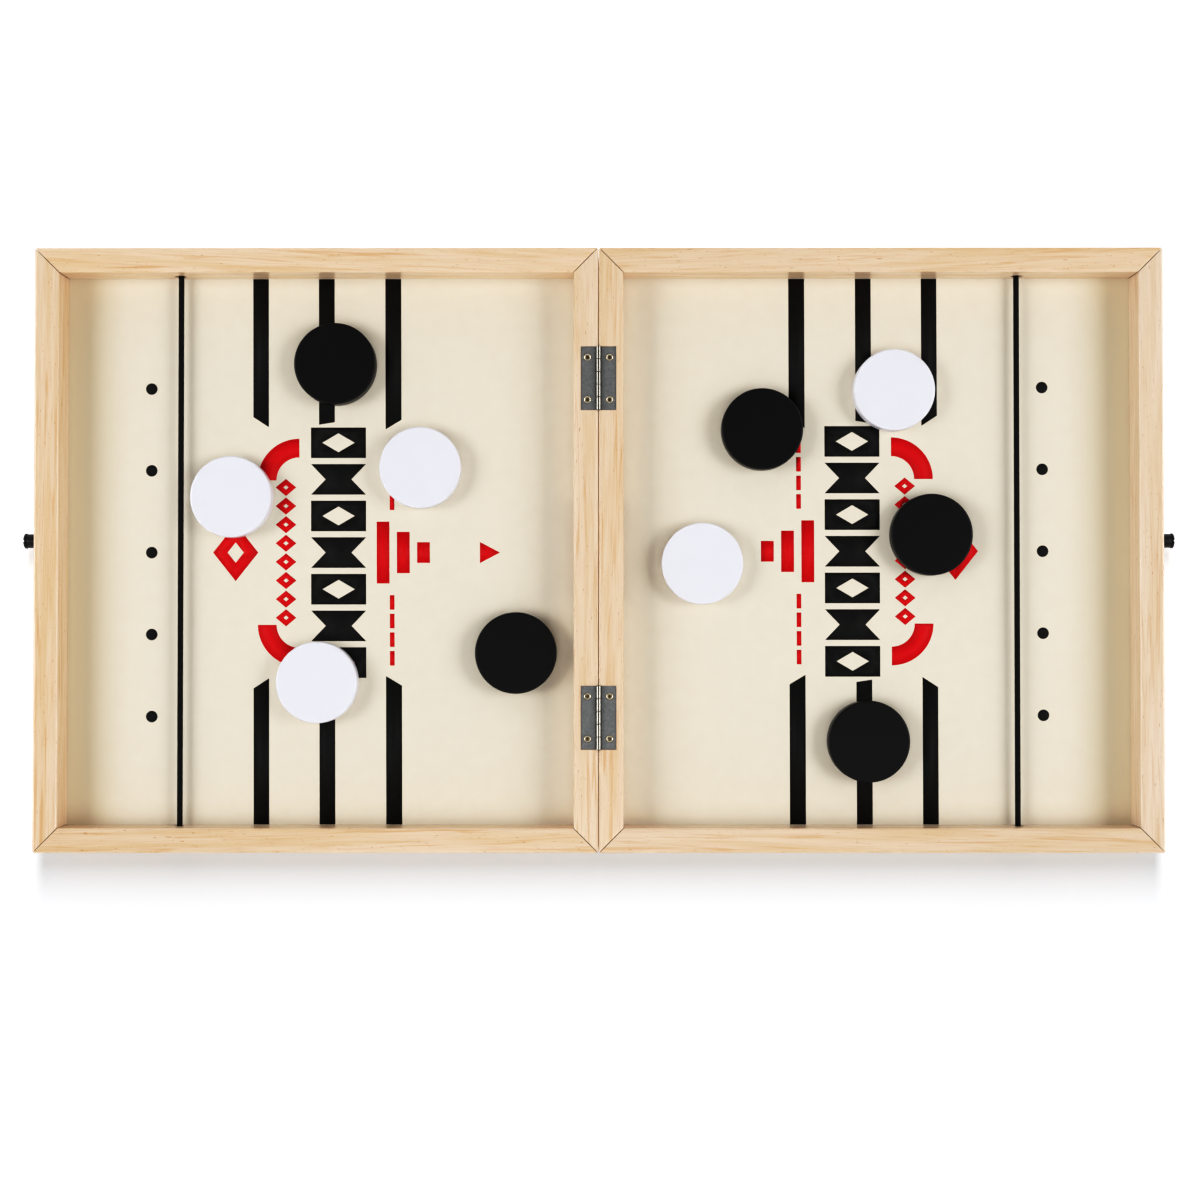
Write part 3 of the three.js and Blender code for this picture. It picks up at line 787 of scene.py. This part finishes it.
for hinge, place_v in hinge_places.items():
    for side, sign, first in (("left", -1, 0), ("right", 1, 1)):
        leaf = build(f"{hinge}_{side}_plate", leaf_patches(sign, place_v, first), shaded_barrel_steel,
                     f"{side}_tray")
        wall = leaf.modifiers.new("sheet", "SOLIDIFY")
        wall.thickness = leaf_sheet * MM
        wall.offset = 0
        eased = leaf.modifiers.new("eased_edges", "BEVEL")
        eased.width = leaf_edge * MM
        eased.segments = 2
        eased.angle_limit = math.radians(50)
        eased.harden_normals = True
        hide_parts(f"{hinge}_{side}_leaf")
    dress(f"{hinge}_pin", pin_steel)

# Hinge screws
# Eight small countersunk screws of brassed steel: a rolled rim round a dish with a cross pressed
# into it, the rim painted near white as a painted highlight and the dish and cross a darker brass
# as painted shade. Each stopped at its own angle, given in radians.
screw_top = 24.3
head_radius = 1.8
rim_start = 1.1
rim_crest = 1.45
rim_half = 0.35
rim_fall = 0.28
dish_radius = 1.05
dish_depth = 0.30
dish_rings = 22
rim_rings = 13
rim_foot = 0.34
screw_facets = 96
cross_depth = 0.5
cross_soft = 0.22
shank_radius = 0.9
shank_start = 1.1
shank_end = 6.4
point_end = 8.0
screw_turns = (1.25, 0.65, 1.55, 0.95, 0.35, 1.25, 0.65, 1.55)

# Painted highlight: the coat paints the head's rim near white from 23.98 mm up; below it the dish and
# cross keep the darker brass as painted shade.
brassed = steel("brassed_steel_painted_rim", "#6A5E46", "#83755A", 0.4, (("#F7ECD4", 0.34, 23.98),))


def screw_grid(turn):
    """A screw's profile carried round its axis, with a star pressed into the dish. The star is
    where the square roots of the distances along and across its arms, each a share of the dish's
    radius, add up to less than one."""
    dish = np.linspace(0, dish_radius, dish_rings)
    rim = np.linspace(rim_start, head_radius, rim_rings)
    radius = np.concatenate([dish, rim, [head_radius, shank_radius, shank_radius, 0.0]])
    height = np.concatenate([np.full(dish_rings, -dish_depth),
                             -rim_fall * (np.abs(rim - rim_crest) / rim_half) ** 1.3,
                             [-rim_foot, -shank_start, -shank_end, -point_end]])
    grid = turned(np.stack([radius, height], -1), screw_facets, (0, 0, 0)) / MM
    along = np.abs(grid[..., 0] * np.cos(turn) + grid[..., 1] * np.sin(turn))
    across = np.abs(grid[..., 1] * np.cos(turn) - grid[..., 0] * np.sin(turn))
    star = 1 - (np.sqrt(along / dish_radius) + np.sqrt(across / dish_radius))
    dent = np.clip(star / cross_soft, 0, 1) * cross_depth
    grid[:dish_rings, :, 2] -= dent[:dish_rings]
    return grid


turns = iter(screw_turns)
for hinge, place_v in hinge_places.items():
    for side, sign in (("left", -1), ("right", 1)):
        for end, way in (("front", -1), ("back", 1)):
            name = f"{hinge}_{side}_{end}_screw"
            place = np.array([sign * screw_u, place_v + way * screw_v, screw_top])
            grid = (screw_grid(next(turns)) + place) * MM
            screw = build(f"{name}_head", [(grid, True, (0.001, 0.001))], brassed,
                          f"{side}_tray")
            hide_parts(name)

# Latch posts
# A black sleeve stands on the outer face of each end rail, held by a slotted pan head screw. A
# loop goes over both posts when the trays are folded together. Black oxide steel, barely glossy.
post_v = 4.8
post_height = 12.5
tray_end = 280.0
sleeve_radius = 3.5
sleeve_bore = 1.75
sleeve_start = 0.05
sleeve_end = 6.45
sleeve_edge = 0.25
sleeve_facets = 64
pan_radius = 3.8
pan_start = 6.5
pan_edge = 7.2
pan_crown = 8.1
crown_power = 2.6
slot_half = 0.45
slot_floor = 7.3
pan_lines = 14
chord_points = 21
neck_radius = 1.6
thread_end = -7.0
thread_point = -9.0

# The oxide skin is as even and dark as lacquer, and the same recipe draws it.
oxide = lacquer("black_oxide_steel", "#0A0A0A", "#101010", 0.42, 0.4)


def sleeve_profile():
    """The sleeve's wall, round from the foot of its bore, with both outer edges softened."""
    turn = np.linspace(0, np.pi / 2, 5)
    inset = sleeve_radius - sleeve_edge
    foot = np.stack([inset + sleeve_edge * np.sin(turn),
                     sleeve_start + sleeve_edge - sleeve_edge * np.cos(turn)], -1)
    top = np.stack([inset + sleeve_edge * np.cos(turn),
                    sleeve_end - sleeve_edge + sleeve_edge * np.sin(turn)], -1)
    return np.concatenate([[(sleeve_bore, sleeve_start), (inset, sleeve_start)], foot, top,
                           [(sleeve_bore, sleeve_end), (sleeve_bore, sleeve_start)]])


def pan_face():
    """The head's face, drawn by lines along its slot: at each distance across, a chord of the
    circle, on the crown outside the slot and on its floor inside it."""
    outwards = np.linspace(0, np.arccos(slot_half / pan_radius), pan_lines)
    across = np.concatenate([-pan_radius * np.cos(outwards), [-slot_half, 0, slot_half],
                             pan_radius * np.cos(outwards[::-1])])
    chord = np.sqrt(np.maximum(pan_radius ** 2 - across ** 2, 0))
    p = np.repeat(across[:, None], chord_points, 1)
    q = chord[:, None] * np.linspace(-1, 1, chord_points)
    away = np.hypot(p, q) / pan_radius
    h = pan_edge + (pan_crown - pan_edge) * np.sqrt(np.maximum(1 - away ** crown_power, 0))
    in_slot = slice(pan_lines, pan_lines + 3)
    h[in_slot] = np.minimum(h[in_slot], slot_floor)
    return np.stack([p, q, h], -1)


for side, sign in (("left", -1), ("right", 1)):
    axes = ((0, 1, 0), (0, 0, sign), (sign, 0, 0))
    place = (sign * tray_end, post_v, post_height)
    sleeve = build(f"{side}_latch_sleeve_turned",
                   [(turned(sleeve_profile(), sleeve_facets, place, axes), True, (0.02, 0.02))],
                   oxide, f"{side}_tray")
    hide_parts(f"{side}_latch_sleeve")

    face = pan_face()
    rim = np.concatenate([face[:, -1], face[::-1, 0]])
    under = np.concatenate([rim[:, :2], np.full((len(rim), 1), pan_start)], -1)
    skirt = np.stack([rim, under])
    neck = under * (neck_radius / pan_radius, neck_radius / pan_radius, 1)
    shank = neck * (1, 1, 0) + (0, 0, thread_end)
    point = np.zeros_like(neck) + (0, 0, thread_point)
    tail = np.stack([under, neck, shank, point])
    grids = [((grid @ np.array(axes, float) + np.array(place)) * MM, wraps, (0.01, 0.01))
             for grid, wraps in ((face, False), (skirt, True), (tail, True))]
    head = build(f"{side}_latch_screw_turned", grids, oxide, f"{side}_tray")
    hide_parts(f"{side}_latch_screw")
